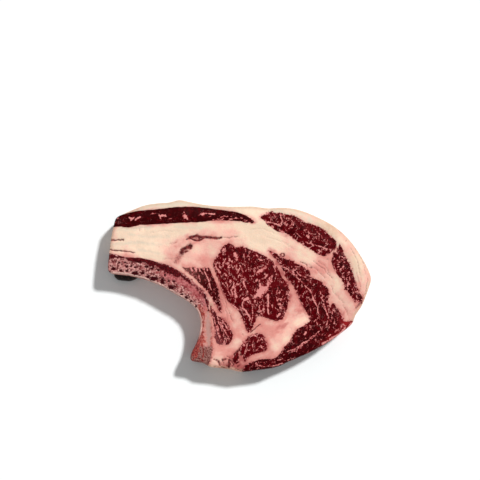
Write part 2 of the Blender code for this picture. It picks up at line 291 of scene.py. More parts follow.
def lay_slab(node):
    """A fine mesh of one piece through the steak: cut faces, side wall and hidden borders."""
    solid_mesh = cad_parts[node].data
    solid = BVHTree.FromPolygons([v.co for v in solid_mesh.vertices],
                                 [tuple(p.vertices) for p in solid_mesh.polygons])
    rings = [fine_loop(loop, outer) for loop, outer in zip(LOOPS[node], OUTER[node])]
    loops, flags = [ring[0] for ring in rings], np.concatenate([ring[1] for ring in rings])
    before = np.concatenate([np.roll(ring[1], 1) for ring in rings])
    on_side = flags | before
    edge = np.concatenate(loops)
    grown = edge if node == "fat_body" else np.concatenate([cover_gap(*ring) for ring in rings])
    corners, faces, wall = [], [], {}
    columns = [[] for _ in edge]
    for upper, step in ((False, UNDER_STEP), (True, FACE_STEP)):
        inner = grid_inside(loops, step)
        triangles = fill_face(loops, inner)
        heights = heights_on(solid, np.concatenate([edge, inner]), upper)
        heights = even_out(heights, triangles, HEIGHT_PASSES if upper else UNDER_PASSES)
        if upper:
            near_rim = 1 - distances(np.concatenate([edge, inner]), RIM_TREE) / EDGE_REACH
            heights = heights - EDGE_DROP * np.clip(near_rim, 0, 1) ** 2
        plan = np.concatenate([grown, inner])
        plan = plan + wobble(plan)
        first = len(corners)
        corners += [(x, y, z) for (x, y), z in zip(plan, heights)]
        faces += [[first + i for i in (face if upper else face[::-1])] for face in triangles.tolist()]
        for i in range(len(edge)):
            columns[i].append(first + i)
    ways = rim_ways(edge)
    for i, (low, high) in enumerate(columns):
        if on_side[i]:
            below, above = np.array(corners[low]), np.array(corners[high])
            column = [low]
            for row in range(1, WALL_ROWS):
                share = row / WALL_ROWS
                spot = below + (above - below) * share
                swell = WALL_BULGE * (1 - (2 * share - 1) ** 2) ** 0.6
                ripple = noise.fractal(Vector(spot) / RIPPLE_LENGTH, 0.6, 2.0, 4) * WALL_RIPPLE
                spot[:2] += ways[i] * (swell + ripple * min(1.0, 4 * share, 4 - 4 * share))
                wall[len(corners)] = min(1.0, 6 * share, 6 - 6 * share)
                column.append(len(corners))
                corners.append(tuple(spot))
            columns[i] = column + [high]
    first = 0
    for loop in loops:
        for i in range(len(loop)):
            left, right = columns[first + i], columns[first + (i + 1) % len(loop)]
            a, b = 0, 0
            while a < len(left) - 1 or b < len(right) - 1:
                go_left = (a + 1) * (len(right) - 1) <= (b + 1) * (len(left) - 1)
                tip = left[a + 1] if go_left else right[b + 1]
                faces.append([left[a], right[b], tip])
                a, b = (a + 1, b) if go_left else (a, b + 1)
        first += len(loop)
    corners = np.array(corners)
    mesh = bpy.data.meshes.new(node + "_detail")
    mesh.from_pydata((corners * MM).tolist(), [], faces)
    mesh.shade_smooth()
    mesh.set_sharp_from_angle(angle=math.radians(SHARP_ANGLE))
    obj = stand(node + "_detail", mesh)
    side = -1.0 if node == "fat_body" else 1.0
    write_mask(obj, "border", side * distances(corners[:, :2], BORDER_TREE))
    on_wall = np.zeros(len(corners))
    on_wall[list(wall)] = list(wall.values())
    write_mask(obj, "wall", on_wall)
    write_mask(obj, "rim", distances(corners[:, :2], RIM_TREE) * (on_wall == 0))
    return obj


def write_mask(obj, name, values):
    made = obj.data.attributes.new(name, "FLOAT", "POINT")
    made.data.foreach_set("value", np.asarray(values, np.float32))


def points_of(obj):
    """A piece's points in mm."""
    spots = np.zeros(len(obj.data.vertices) * 3, np.float32)
    obj.data.vertices.foreach_get("co", spots)
    return spots.reshape(-1, 3) / MM


UPPER_FACE = 22
LINE_BEND, BEND_LENGTH, LINE_CURL, CURL_LENGTH = 1.1, 5.5, 0.55, 1.9


def line_mask(points, lines, top_only=True):
    """How near each point is to listed lines: 1 on a line, 0 past its half width.
    A line is (half width, strength, (x, y), (x, y) ...)."""
    mask = np.zeros(len(points))
    near = points[:, 2] > UPPER_FACE if top_only else np.ones(len(points), bool)
    spots = points[near][:, :2]
    spots = spots + drift(spots, BEND_LENGTH, 3.0) * LINE_BEND + drift(spots, CURL_LENGTH, 9.0) * LINE_CURL
    for half, strength, *stops in lines:
        best = np.full(len(spots), 1e9)
        if len(stops) == 1:
            best = np.linalg.norm(spots - np.array(stops[0]), axis=1)
        for start, end in zip(stops, stops[1:]):
            start, run = np.array(start, float), np.array(end, float) - np.array(start, float)
            share = np.clip(((spots - start) @ run) / (run @ run), 0, 1)
            best = np.minimum(best, np.linalg.norm(spots - start - share[:, None] * run, axis=1))
        mask[near] = np.maximum(mask[near], strength * np.clip(1 - best / half, 0, 1))
    return mask


def nearness(points, x, y, reach):
    return np.exp(-((points[:, 0] - x) ** 2 + (points[:, 1] - y) ** 2) / reach ** 2)


def blended(points, places, elsewhere):
    """A value that passes softly from place to place, each (x, y, reach, value)."""
    weight, total = np.full(len(points), 0.02), np.full(len(points), 0.02 * elsewhere)
    for x, y, reach, value in places:
        near = 1 / (1 + (np.hypot(points[:, 0] - x, points[:, 1] - y) / reach) ** 2) ** 2.5
        weight += near
        total += near * value
    return total / weight


class Shade:
    """A number, place or colour that changes over a piece, as the output of a node.
    Plain sums of shades add the nodes that work them out."""

    def __init__(self, socket):
        self.socket = socket
        self.tree = socket.id_data

    def __add__(self, other):
        return calc(self.tree, "ADD", self, other)

    def __sub__(self, other):
        return calc(self.tree, "SUBTRACT", self, other)

    def __mul__(self, other):
        return calc(self.tree, "MULTIPLY", self, other)

    def __truediv__(self, other):
        return calc(self.tree, "DIVIDE", self, other)

    def __rtruediv__(self, other):
        return calc(self.tree, "DIVIDE", other, self)


def link(value, socket):
    value.tree.links.new(value.socket, socket)


def fill(node, values):
    """Joins or sets the inputs of a node."""
    for place, value in values.items():
        if isinstance(value, Shade):
            link(value, node.inputs[place])
        else:
            node.inputs[place].default_value = value


def wire(tree, kind, settings, values, output=0):
    """Adds a node, sets it up, fills its inputs, and gives back one of its outputs."""
    made = tree.nodes.new(kind)
    for name, value in settings.items():
        setattr(made, name, value)
    fill(made, values)
    return Shade(made.outputs[output])


def calc(tree, operation, first, second=0.0):
    return wire(tree, "ShaderNodeMath", {"operation": operation}, {0: first, 1: second})


def larger(first, second):
    return calc(first.tree, "MAXIMUM", first, second)


def stretched(place, factors):
    """A place with each of its axes multiplied."""
    return wire(place.tree, "ShaderNodeVectorMath", {"operation": "MULTIPLY"}, {0: place, 1: factors})


def scaled(place, factor):
    return wire(place.tree, "ShaderNodeVectorMath", {"operation": "SCALE"}, {0: place, 3: factor})


def axis(place, number):
    return wire(place.tree, "ShaderNodeSeparateXYZ", {}, {0: place}, number)


def ease(value, low, high, start=0.0, end=1.0):
    """A smooth step from start to end as value goes from low to high."""
    values = {0: value, 1: low, 2: high, 3: start, 4: end}
    return wire(value.tree, "ShaderNodeMapRange", {"interpolation_type": "SMOOTHSTEP"}, values)


def speckle(place, size, seed, detail=3.0, output=0):
    """Noise between 0 and 1 whose lumps are about size mm across."""
    values = {"Vector": place, "W": seed, "Scale": 1.0 / size, "Detail": detail, "Roughness": 0.55}
    return wire(place.tree, "ShaderNodeTexNoise", {"noise_dimensions": "4D"}, values, output)


def blend(share, first, second):
    """A colour between two."""
    settings = {"data_type": "RGBA", "clamp_factor": True}
    return wire(share.tree, "ShaderNodeMix", settings, {0: share, 6: first, 7: second}, 2)


def tint(red, green, blue):
    """A colour as it looks on a screen, 0 to 255, as the shader takes it."""
    channels = [c / 255 for c in (red, green, blue)]
    return [c / 12.92 if c <= 0.04045 else ((c + 0.055) / 1.055) ** 2.4 for c in channels] + [1.0]


def read_mask(place, name):
    return wire(place.tree, "ShaderNodeAttribute", {"attribute_name": name}, {}, 2)


FLESH_BLEED, BLEED_DEPTH = (1.0, 0.35, 0.25), 0.0015


def new_finish(name, roughness, specular, subsurface=0.0):
    """A material with a plain shader, and that shader."""
    made = bpy.data.materials.new(name)
    made.use_nodes = True
    shader = made.node_tree.nodes["Principled BSDF"]
    fill(shader, {"Roughness": roughness, "Specular IOR Level": specular, "Subsurface Weight": subsurface,
                  "Subsurface Radius": FLESH_BLEED, "Subsurface Scale": BLEED_DEPTH})
    return made, shader


def place_in_mm(material):
    return scaled(wire(material.node_tree, "ShaderNodeTexCoord", {}, {}, 3), 1.0 / MM)


def dress(shader, colour, height, depth, roughness):
    """Joins colour, roughness and fine relief to a shader."""
    relief = {"Strength": 1.0, "Distance": depth * MM, "Height": height}
    bump = wire(colour.tree, "ShaderNodeBump", {}, relief)
    fill(shader, {"Base Color": colour, "Roughness": roughness, "Normal": bump})


def new_group(name, inputs, outputs, kind="ShaderNodeTree"):
    """An empty node group with these sockets, what it is given, and the node that takes its results."""
    group = bpy.data.node_groups.new(name, kind)
    for way, sockets in (("INPUT", inputs), ("OUTPUT", outputs)):
        for socket, sort in sockets.items():
            group.interface.new_socket(socket, in_out=way, socket_type="NodeSocket" + sort)
    given = {socket.name: Shade(socket) for socket in group.nodes.new("NodeGroupInput").outputs}
    return group, given, group.nodes.new("NodeGroupOutput")


def use_group(group, values):
    """Puts a group into the tree that its place comes from, and gives back what it puts out."""
    made = values["Place"].tree.nodes.new("ShaderNodeGroup")
    made.node_tree = group
    fill(made, values)
    return {socket.name: Shade(socket) for socket in made.outputs}


def fat_tone_group():
    """The colour of raw fat, from dry cream to blood-stained pink, with its fine grain.
    Across is the distance from the rim in mm, which the faint streaks run along."""
    inputs = {"Place": "Vector", "Across": "Float", "Pinkness": "Float", "Seed": "Float"}
    group, given, out = new_group("fat tone", inputs, {"Colour": "Color", "Grain": "Float"})
    place, across, pinkness, seed = (given[name] for name in inputs)
    cloud = speckle(place, 14.0, seed)
    lumps = speckle(place, 4.0, seed, 4.0)
    grain = speckle(place, 1.1, seed)
    broad = speckle(place, 26.0, across * 0.5 + seed, 2.0)
    hair = speckle(place, 20.0, across * 1.4 + seed)
    bloody = ease(pinkness, 0.05, 0.4)
    pink = (cloud - 0.5) * 0.6 + (lumps - 0.5) * 0.35 + (broad - 0.5) * 1.6 + (hair - 0.5) * 2.2
    pink = pink * larger(bloody, 0.55) + (pinkness - 0.12)
    colour = blend(pink / 0.45, CREAM_FAT, PINK_FAT)
    colour = blend(ease(pink, 0.42, 0.95), colour, ROSE_FAT)
    colour = blend(ease(pink, 0.95, 1.6), colour, BLED_FAT)
    specks = ease(speckle(place, 1.2, seed + 60.0, 2.0), 0.64, 0.76) * ease(cloud, 0.5, 0.6, 0.0, 0.5)
    streaks = ease(hair, 0.6, 0.7, 0.0, 0.45) * bloody
    colour = blend(larger(specks, streaks), colour, BLED_FAT)
    shade = ease(hair + (broad + grain * 0.6), 0.95, 1.65, 0.88, 1.07)
    fill(out, {"Colour": scaled(colour, shade), "Grain": grain + lumps * 1.2 + hair})
    return group


def ragged_border_group():
    """How far in mm the line between lean and fat strays, the same in both."""
    inputs = {"Place": "Vector", "Wall": "Float"}
    group, given, out = new_group("ragged border", inputs, {"Shift": "Float"})
    place = given["Place"]
    x, y = axis(place, 0), axis(place, 1)
    bite = speckle(place, BITE_SIZE, 77.0, 4.0) - 0.5
    bite = bite * ease(y - x * 0.9, 55.0, 80.0, BITE_DEPTH, BITE_DEPTH / 4)
    bite = bite * ease(x, 42.0, 62.0, 1.0, 1.15)
    swing = (speckle(place, 8.0, 78.0, 2.0) - 0.5) * (given["Wall"] * WALL_SWING)
    fill(out, {"Shift": bite + swing})
    return group


BITE_SIZE, BITE_DEPTH, WALL_SWING = 2.5, 10.0, 14.0
RAGGED = ragged_border_group()
CREAM_FAT, PINK_FAT, ROSE_FAT = tint(247, 217, 191), tint(238, 184, 168), tint(219, 146, 135)
HAZY_FAT, SHADED_RIM_FAT = tint(217, 202, 181), tint(208, 174, 148)
BLED_FAT, STAIN_DARK, STAIN_RED = tint(176, 92, 88), tint(70, 14, 17), tint(136, 52, 50)
LEAN_EDGE, SKIN_PINK, SKIN_CREAM = tint(104, 14, 20), tint(222, 158, 144), tint(243, 214, 190)
FAT_TONE = fat_tone_group()

# How pink the fat is round each place: (x, y, reach, pinkness)
PINK_PLACES = (
    (-137, 50, 10, 0.4), (-112, 50, 18, 0.03), (-88, 57, 18, 0.14), (-70, 57, 12, 0.15), (-118, 31, 7, 0.7),
    (-94, 34, 8, 0.2), (-92, 45, 8, -0.3), (-104, 64, 6, -0.3), (-74, 27, 8, 0.95), (-62, 44, 8, 0.6),
    (-58, 27, 7, 0.6), (-46, 28, 6, 0.35), (-57, 38, 4, 1), (-46, 50, 4, 0.8), (-56, 52, 4, 0.9),
    (-40, 57, 5, 0.5), (-68, 40, 5, 0.55), (-66, 30, 4, 1.1), (-45, 63, 8, 0.45), (-46, 39, 6, 0.22),
    (-30, 45, 7, 0.7), (-30, 29, 8, 0.9), (-20, -8, 10, 0.95), (-10, -32, 12, 0.88), (-22, -68, 10, 0.72),
    (-30, -81, 5, 0.75), (-16, -83, 5, 1.6), (-12, 63, 10, 0.3), (18, 54, 14, 0), (38, 46, 12, 0.12),
    (58, 42, 10, 0.45), (52, 29, 5, 0.95), (74, 34, 9, 0.25), (90, 20, 9, 0.75), (96, 3, 8, 0.6),
    (106, -20, 8, 0.85), (121, -23, 9, 1), (50, -49, 9, 0.4), (62, -24, 8, 0.72), (67, -41, 7, 0),
    (50, -61, 7, 0.1), (55, -9, 7, 1), (27, -50, 9, 0.9), (40, -61, 8, 0.45), (28, -72, 8, 1.05),
    (-4, 47, 8, 0.5), (100, 62, 12, 0.45), (122, 28, 12, 0.4), (134, -4, 8, 0.6), (-60, 88, 22, 0.1),
    (20, 84, 22, 0.05), (35, 33, 3, 1.3), (40.5, 25, 3, 1.5), (45.5, 13, 3, 1.5), (51, 3, 3, 1.3),
    (78, 79, 9, 0.3), (14, 67, 4, 0.8), (0, -86, 8, 1.5), (44, -90, 8, 1.2),
)

# Dried, yellowish streaks of the rim
DRY_STREAKS = (
    (5, 0.9, (34, 80), (58, 78), (80, 67), (97, 54), (105, 44)), (4, 0.5, (112, 30), (124, 6)),
    (5, 0.7, (-112, 78), (-84, 82)), (3.5, 0.5, (-130, 60), (-96, 62)),
    (2.6, 0.5, (-136, 44), (-108, 46), (-84, 43)), (2.4, 0.45, (-118, 54), (-96, 52), (-76, 52)),
    (2.4, 0.45, (-108, 38), (-86, 34)), (2.2, 0.4, (-70, 62), (-40, 61)),
)

# Veins, slits and stains on the upper face
STAINS = (
    (2.6, 1, (-54, 50.2), (-50, 52.6), (-45.5, 52.8), (-39.5, 51.6)),
    (2.2, 1, (-38.6, 51), (-42.4, 48.6), (-48.6, 48.4), (-54, 50.2)),
    (1.8, 0.9, (-44.4, 52.4), (-43.6, 48.8)),
    (4, 1, (-62.4, 34.6), (-60.8, 37.8), (-56.8, 40.8), (-53, 41.8)),
    (2.4, 0.85, (-53, 41.8), (-52.6, 39.8)), (2.2, 0.9, (-55.6, 36.8), (-58.4, 35.4)),
    (3, 0.9, (-61, 35.6)), (2.8, 0.9, (-54.4, 41)), (5.2, 0.46, (-62, 34), (-66, 27)),
    (1.3, 0.9, (42.8, 32), (44.4, 33.8), (46.8, 33.4), (47.6, 32), (46, 30.6), (43.8, 30.6), (42.8, 32)),
    (1.7, 0.7, (-57.5, 49.2), (-51, 50)), (3, 1, (-39.5, 51), (-32, 51)),
    (2.4, 0.95, (-32, 51), (-25, 50.2), (-20.4, 50.7)), (1.6, 0.5, (-20.4, 50.7), (-12, 51.2), (-2, 52)),
    (3.2, 0.45, (-50, 50.4), (-42, 50.6)), (5, 0.42, (-61, 36.4), (-53, 40)),
    (6, 0.42, (-68, 25), (-64, 32)), (2, 0.5, (-70, 24), (-66, 30)),
    (1.5, 0.8, (-140, 48.8), (-133, 48.8), (-124, 48.4)),
    (1.4, 0.75, (-140, 38.8), (-133, 37.4), (-120, 36.4), (-113, 35)),
    (1.6, 0.35, (-76, 43.6), (-69, 46.6)), (2.2, 0.3, (-82, 28.2), (-68, 28)),
    (1.5, 0.6, (65, 25), (69, 23), (72, 21)), (1.5, 0.6, (74.5, 19.6), (76.5, 19.2)),
    (1.2, 0.85, (10.5, -49.4), (16, -45.4), (21.4, -41)), (1.6, 0.6, (113, 48)), (2.4, 0.5, (93, 28)),
    (2.6, 0.4, (3, -52)), (2, 0.35, (54, -46)), (1.3, 0.38, (112, 60), (124, 42), (131, 26), (134, 12)),
    (1.2, 0.4, (121, 52), (131, 35), (137, 18)), (1.3, 0.45, (136, 8), (134, -6), (130, -16)),
    (1.3, 0.42, (118, 40), (126, 24), (129, 6)), (1.2, 0.4, (104, 66), (116, 54), (124, 38)),
    (1.2, 0.4, (124, 14), (128, -2), (124, -14)), (1.2, 0.25, (-96, 56), (-84, 58), (-72, 57)),
    (1.4, 0.45, (78, 26), (88, 18), (96, 10)), (1.3, 0.4, (84, 26), (92, 18), (98, 8)),
    (1.3, 0.4, (74, 22), (82, 16), (90, 8)), (1.4, 0.36, (96, 0), (102, -10), (110, -18)),
    (1.2, 0.33, (100, -6), (108, -16), (112, -26)), (1.2, 0.35, (-108, 62), (-107.4, 57.4)),
    (1.1, 0.3, (-103, 61.6), (-102.6, 58)), (1, 0.5, (-87, 41)), (0.9, 0.45, (-78, 53)),
    (1.2, 0.3, (28, 52), (44, 47), (58, 38)), (1.2, 0.28, (10, 60), (26, 60), (40, 54)),
    (1.2, 0.3, (-128, 60), (-112, 61), (-100, 62)), (1.3, 0.35, (62, -14), (66, -24), (70, -32)),
    (1.3, 0.4, (-16, -16), (-12, -28), (-8, -38)), (1.3, 0.35, (-20, -12), (-16, -24), (-13, -36)),
    (2.5, 0.55, (127, -20), (124, -24)), (2, 0.4, (112, -24), (114, -31)),
    (3.5, 0.36, (-24, -81), (-17, -84), (-12, -82)), (3.5, 0.34, (-22, -87), (-10, -87)),
    (2, 0.45, (-6, -88.5), (3, -89.5)), (3.2, 0.9, (4, -64.6), (-0.5, -68), (-4, -71)),
    (2.4, 0.8, (2, -68), (1, -74)), (2.8, 0.95, (-11.6, -79.6), (-11.2, -83), (-12.6, -86)),
    (2.2, 0.85, (-23, -80.6), (-22, -84)), (1.9, 0.8, (-17.6, -82)),
    (1.9, 0.75, (-19, -78.8), (-15, -78.4)), (1.9, 0.75, (-14.6, -85.4)), (1.8, 0.7, (-19.4, -86)),
    (1.7, 0.75, (-9.6, -80)), (2, 0.8, (-8.6, -85.4)), (1.6, 0.7, (-27, -79), (-24, -80)),
    (1.4, 0.7, (-19, -80), (-16, -79)), (1.5, 0.75, (-8, -80), (-7, -84)), (1.5, 0.65, (-3, -86), (0, -84)),
    (1.4, 0.7, (-20, -85.5), (-17, -87)), (1.3, 0.6, (-5, -76), (-4, -79)),
    (1.4, 0.5, (-28, -86), (-24, -86)), (1.2, 0.6, (-14, -75), (-11, -77)),
)


def fat_finish():
    made, shader = new_finish("raw fat", 0.45, 0.14, 0.08)
    place = place_in_mm(made)
    border, rim, wall = (read_mask(place, name) for name in ("border", "rim", "wall"))
    ragged = border + use_group(RAGGED, {"Place": place, "Wall": wall})["Shift"]
    bled = read_mask(place, "pinkness") + ease(border, -5.5, -0.3, 0.0, 0.4)
    tone = use_group(FAT_TONE, {"Place": place, "Across": rim, "Pinkness": bled, "Seed": 1.0})
    haze = larger(read_mask(place, "haze") * ease(rim, 3.0, 9.0, 1.0, 0.0), read_mask(place, "dry"))
    haze = haze * ease(speckle(place, 5.0, 14.0, 4.0), 0.36, 0.6, 0.45, 1.0)
    colour = blend(haze, tone["Colour"], HAZY_FAT)
    # Painted shade: the fat turns duller and darker along the rim, on the side wall, and at the upper right.
    fat_rim_shade = larger(read_mask(place, "fat_rim_shade"), ease(rim, 0.4, 3.6, 0.7, 0.0))
    fat_rim_shade = fat_rim_shade * ease(speckle(place, 3.0, 15.0, 4.0), 0.35, 0.6, 0.6, 1.0)
    colour = blend(fat_rim_shade, colour, SHADED_RIM_FAT)
    colour = blend(ease(ragged, -1.5, 0.2, 0.0, 0.7), colour, BLED_FAT)
    fold = speckle(stretched(place, (1.0, 1.0, 0.35)), 2.6, 6.0, 4.0)
    skin = blend(ease(speckle(place, 9.0, 7.0, 4.0), 0.4, 0.68), SKIN_CREAM, SKIN_PINK)
    skin = blend(ease(fold, 0.56, 0.72), skin, PINK_FAT)
    colour = blend(wall * 0.6, colour, skin)
    colour = blend(ease(ragged, 0.0, 0.5, 0.0, 0.92), colour, LEAN_EDGE)
    rough_stain = (speckle(place, 1.6, 8.0, 4.0) - 0.5) * 0.7
    stain = ease(read_mask(place, "stain") + rough_stain, 0.12, 0.75)
    stain_tone = blend(ease(speckle(place, 2.2, 4.0), 0.4, 0.65), STAIN_DARK, STAIN_RED)
    colour = blend(stain, colour, stain_tone)
    height = tone["Grain"] + fold * wall * 3.5
    dress(shader, colour, height, 0.22, ease(tone["Grain"], 0.6, 1.8, 0.4, 0.56))
    return made


def relief_tree():
    """Geometry Nodes that raise and sink a cut face: soft lumps, fine grain and marked grooves."""
    numbers = ("Lump Height", "Lump Size", "Grain Height", "Groove Depth", "Seed")
    inputs = {"Geometry": "Geometry", **dict.fromkeys(numbers, "Float"), "Finish": "Material"}
    tree, given, out = new_group("cut face relief", inputs, {"Geometry": "Geometry"}, "GeometryNodeTree")
    place = scaled(wire(tree, "GeometryNodeInputPosition", {}, {}), 1.0 / MM)
    lumps = wire(tree, "ShaderNodeTexNoise", {"noise_dimensions": "4D"},
                 {"Vector": place, "W": given["Seed"], "Scale": 1.0 / given["Lump Size"], "Detail": 2.0})
    grain = speckle(place, 1.9, given["Seed"], 2.0)
    groove = wire(tree, "GeometryNodeInputNamedAttribute", {"data_type": "FLOAT"}, {0: "groove"})
    lift = (lumps - 0.5) * given["Lump Height"] + (grain - 0.5) * given["Grain Height"]
    lift = lift - groove * given["Groove Depth"] - SINK
    up = axis(wire(tree, "GeometryNodeInputNormal", {}, {}), 2)
    lift = lift * ease(up, 0.3, 0.8)
    shift = wire(tree, "ShaderNodeCombineXYZ", {}, {2: lift * MM})
    moved = wire(tree, "GeometryNodeSetPosition", {}, {"Geometry": given["Geometry"], "Offset": shift})
    real = wire(tree, "GeometryNodeRealizeInstances", {}, {"Geometry": moved})
    painted = wire(tree, "GeometryNodeSetMaterial", {}, {"Geometry": real, "Material": given["Finish"]})
    fill(out, {"Geometry": painted})
    return tree


SINK = 0.22
RELIEF = relief_tree()


def bake(obj, modifier):
    """Keeps what a modifier makes as the piece's own mesh, and takes the modifier off."""
    obj.update_tag()
    bpy.context.view_layer.update()
    graph = bpy.context.evaluated_depsgraph_get()
    mesh = bpy.data.meshes.new_from_object(obj.evaluated_get(graph), preserve_all_data_layers=True,
                                           depsgraph=graph)
    obj.modifiers.remove(modifier)
    old = obj.data
    obj.data = mesh
    bpy.data.meshes.remove(old)


def bake_relief(obj, values):
    """Runs the relief on a piece with these inputs and keeps the result as its mesh."""
    made = obj.modifiers.new("relief", "NODES")
    made.node_group = RELIEF
    for item in RELIEF.interface.items_tree:
        if item.in_out == "INPUT" and item.name in values:
            made[item.identifier] = values[item.name]
    bake(obj, made)


def fix_in_frame(obj, node):
    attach(obj, "root")
    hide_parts(node)


fat = lay_slab("fat_body")
spots = points_of(fat)
stain = line_mask(spots, STAINS)
write_mask(fat, "stain", stain)
write_mask(fat, "groove", np.clip(stain * 1.3, 0, 1))
write_mask(fat, "pinkness", blended(spots, PINK_PLACES, 0.5))
# Where the fat is painted darker as shade: the upper right and the right of the rim.
write_mask(fat, "fat_rim_shade", np.maximum(nearness(spots, 96, 62, 15), 0.45 * nearness(spots, 126, 26, 26)))
write_mask(fat, "dry", np.clip(1.6 * line_mask(spots, DRY_STREAKS), 0, 0.85))
write_mask(fat, "haze", np.clip((spots[:, 1] - 55) / 20, 0, 1) * np.clip((20 - spots[:, 0]) / 60, 0.3, 1))
bake_relief(fat, {"Lump Height": 0.7, "Lump Size": 11.0, "Grain Height": 0.16, "Groove Depth": 0.7,
                  "Seed": 2.0, "Finish": fat_finish()})
fix_in_frame(fat, "fat_body")

# Rib bone
# A rib sawn lengthwise: spongy bone with open pores, a pale hard edge on its
# hollow side, dark marrow under its outer edge, and a gristly foot.

PORES = (
    (-135, 17.8, 2.9, 1.7), (-120.6, 20, 1.7, 1.4), (-116, 20.4, 1.4, 1.1), (-127, 16, 1.6, 1.1),
    (-121, 15.4, 1.7, 1), (-112, 13, 3.7, 2.2), (-104, 12.8, 2.6, 1.4), (-98, 9.4, 2.2, 1.9),
    (-92, 7.2, 4.3, 2.5), (-83, 4.6, 2.4, 3.6), (-76, 4.6, 1.7, 1), (-70.6, 4.4, 2, 1.2),
    (-73, -2.2, 3.6, 2), (-62, -9.4, 1.5, 1.1), (-57, -13, 2.2, 1.6), (-52.4, -17, 1.2, 1),
    (-47, -22, 1.2, 1.5), (-108, 25, 4.6, 1.1), (-99.6, 19.8, 2.4, 1.2), (-94, 18.2, 2, 1),
    (-87, 16.4, 1.6, 1.2), (-129, 24, 1.5, 0.9), (-123, 24.6, 1.4, 0.8), (-112, 19.4, 1.3, 0.9),
    (-80, 11, 1.2, 1.6), (-44, -34, 0.9, 1.6),
)
MARROW = (
    (4.2, 1, (-141, 31.6), (-134, 30.6)), (3.2, 0.75, (-134, 30.8), (-126, 29.8), (-118, 28.6)),
    (4.6, 1, (-118, 28.4), (-108, 27), (-100, 26), (-86, 21.6), (-77, 18.6)),
    (7.5, 1, (-82, 19), (-74, 15.8), (-66, 11.5)), (4.2, 0.85, (-66, 12.5), (-54, 4.5)),
    (2.8, 0.66, (-54, 4), (-44, -5), (-38, -13)), (3.6, 0.8, (-104, 27), (-92, 20.5)),
    (2.3, 0.8, (-38, -10), (-35, -18), (-33.5, -27)), (2.4, 0.7, (-118, 26.4), (-108, 25.4)),
)
RED_BAND = (
    (11.0, 1.0, (-79, 13), (-68, 8.5), (-58, 3), (-50, -4), (-43, -11)),
    (6.0, 0.8, (-43, -8), (-39, -16), (-37, -26)), (4.5, 0.6, (-110, 26), (-92, 21), (-80, 17)),
)
GRISTLE = (
    (3.2, 0.8, (-34, -29), (-33.6, -38)), (5.0, 1.0, (-33.6, -38), (-33.0, -52)),
    (4.2, 0.9, (-33.0, -52), (-33.2, -61)),
)
FOOT_REDS = (
    (4.2, 1, (-40.5, -50), (-46, -62), (-51, -73)), (3, 0.9, (-42, -58), (-45, -68), (-47, -76)),
    (2, 0.9, (-50, -68), (-47, -74), (-50, -79)), (1.6, 0.8, (-45, -63), (-43, -70)),
    (1.8, 0.8, (-43, -77), (-39, -80)), (1.4, 0.7, (-47, -60), (-45.4, -66)),
    (1.6, 0.9, (-40, -62), (-38, -70), (-39, -76)), (1.3, 0.7, (-35, -66), (-36, -74)),
    (1.5, 0.6, (-39.4, -50), (-38.6, -58)), (1.8, 0.9, (-40.6, -49), (-40, -56)),
    (3.4, 0.85, (-43, -21), (-41.4, -34), (-42, -47)), (1.8, 0.8, (-39.6, -24), (-38.4, -36), (-38.6, -44)),
)
BONE_PINK, BONE_DEEP, BONE_PALE = tint(210, 150, 144), tint(140, 54, 55), tint(244, 200, 188)
PORE_DARK, MARROW_RED, BAND_PINK = tint(62, 2, 8), tint(110, 16, 24), tint(200, 110, 112)
BAND_RED = tint(154, 48, 56)
MEMBRANE = tint(214, 150, 138)
GRISTLE_GREY, FOOT_BROWN, STRIP_ORANGE = tint(184, 142, 133), tint(98, 44, 42), tint(208, 126, 110)
FOOT_GREY, FOOT_RED = tint(164, 114, 105), tint(172, 70, 60)
SPONGE_SIZE = 2.1


